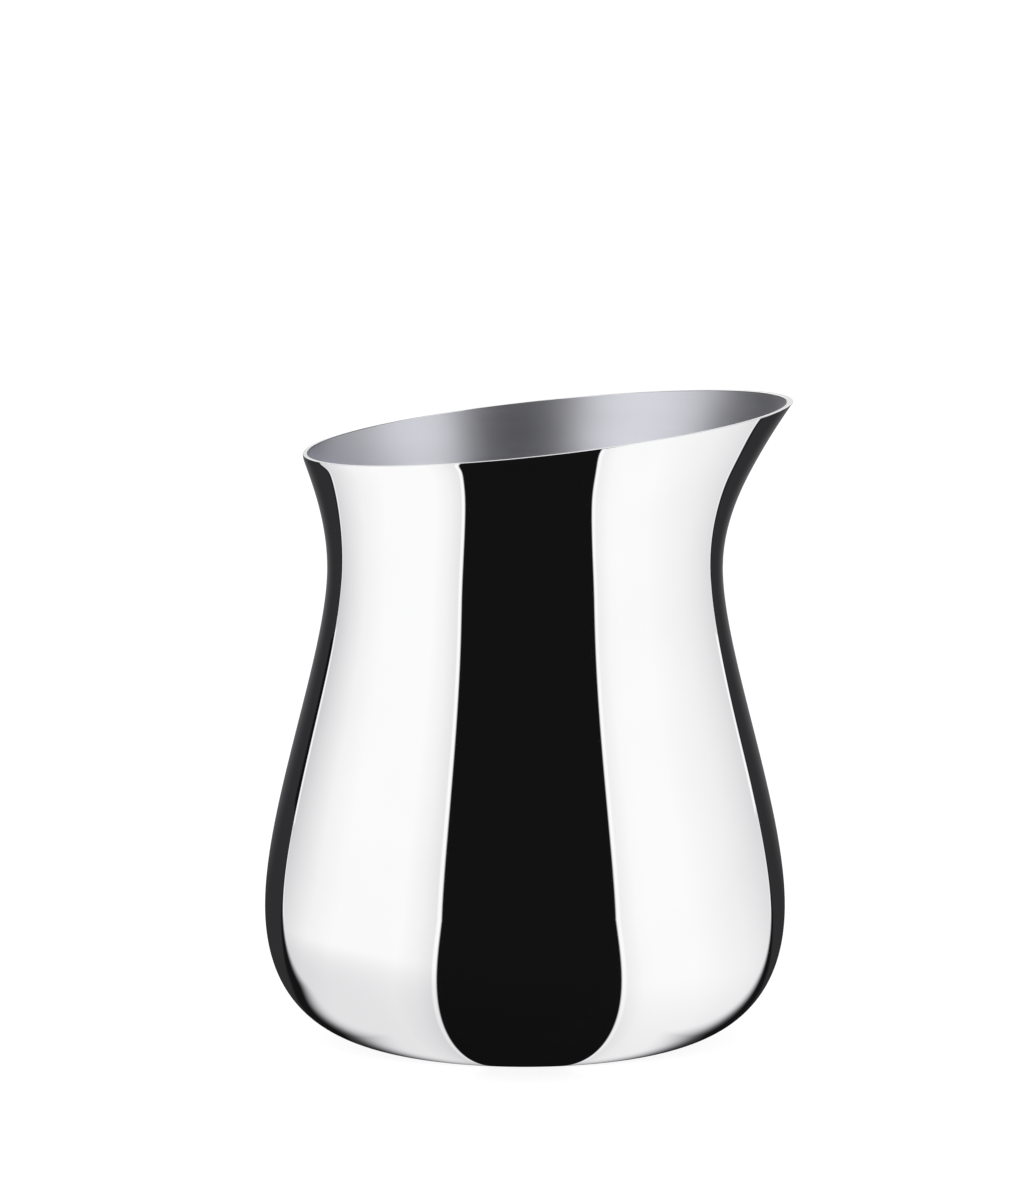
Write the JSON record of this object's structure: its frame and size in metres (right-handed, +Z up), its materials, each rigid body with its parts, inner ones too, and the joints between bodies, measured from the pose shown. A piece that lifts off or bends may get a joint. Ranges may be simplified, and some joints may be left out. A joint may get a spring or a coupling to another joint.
{
  "type": "cream jug",
  "caption": "Handle-less polished metal cream jug with a round belly, a narrower neck and a flared lip cut on a slant to a pouring point.",
  "frame": {"origin": "centre of the flat foot ring that the jug stands on, in the plane of the table", "axes": "+Z up along the jug's axis, +X towards the pouring point of the lip"},
  "size_m": [0.0704, 0.07, 0.0871],
  "materials": {
    "polished_wall": "mirror polished outside, satin inside",
    "satin_floor": "satin, turned",
    "solder": "dull, as flowed"
  },
  "bodies": {
    "root": {"jug_body": "polished_wall", "base_disc": "satin_floor", "seam_solder": "solder"}
  },
  "joints": []
}
